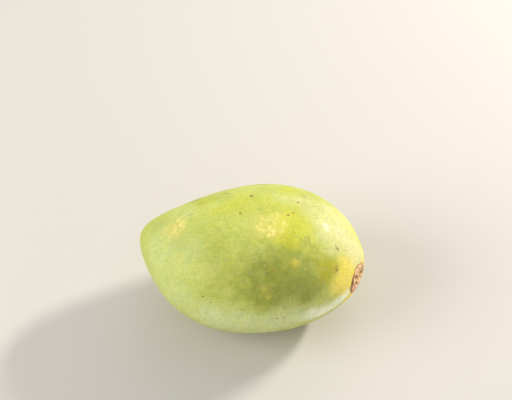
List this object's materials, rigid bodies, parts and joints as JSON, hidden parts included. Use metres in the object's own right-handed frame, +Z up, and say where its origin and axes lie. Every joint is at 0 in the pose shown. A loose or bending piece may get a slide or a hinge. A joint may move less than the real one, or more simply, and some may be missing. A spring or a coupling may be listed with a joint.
{
  "type": "mango",
  "caption": "Whole green mango as picked, plump and oval with a slightly hooked beak and a corky stem scar, lying on one cheek.",
  "frame": {"origin": "middle of the underside of the bounding box, at the level of the flat spot that the fruit rests on", "axes": "+X to the stem scar, +Y to the flatter side that the beak leans to, +Z up, through the two cheeks"},
  "size_m": [0.1262, 0.0916, 0.0743],
  "materials": {
    "mango_skin": "waxy mango skin, yellow-green with pale bloom, yellow by the stem, small dark dots, corky brown scar"
  },
  "bodies": {
    "root": {"mango": "mango_skin"}
  },
  "joints": []
}
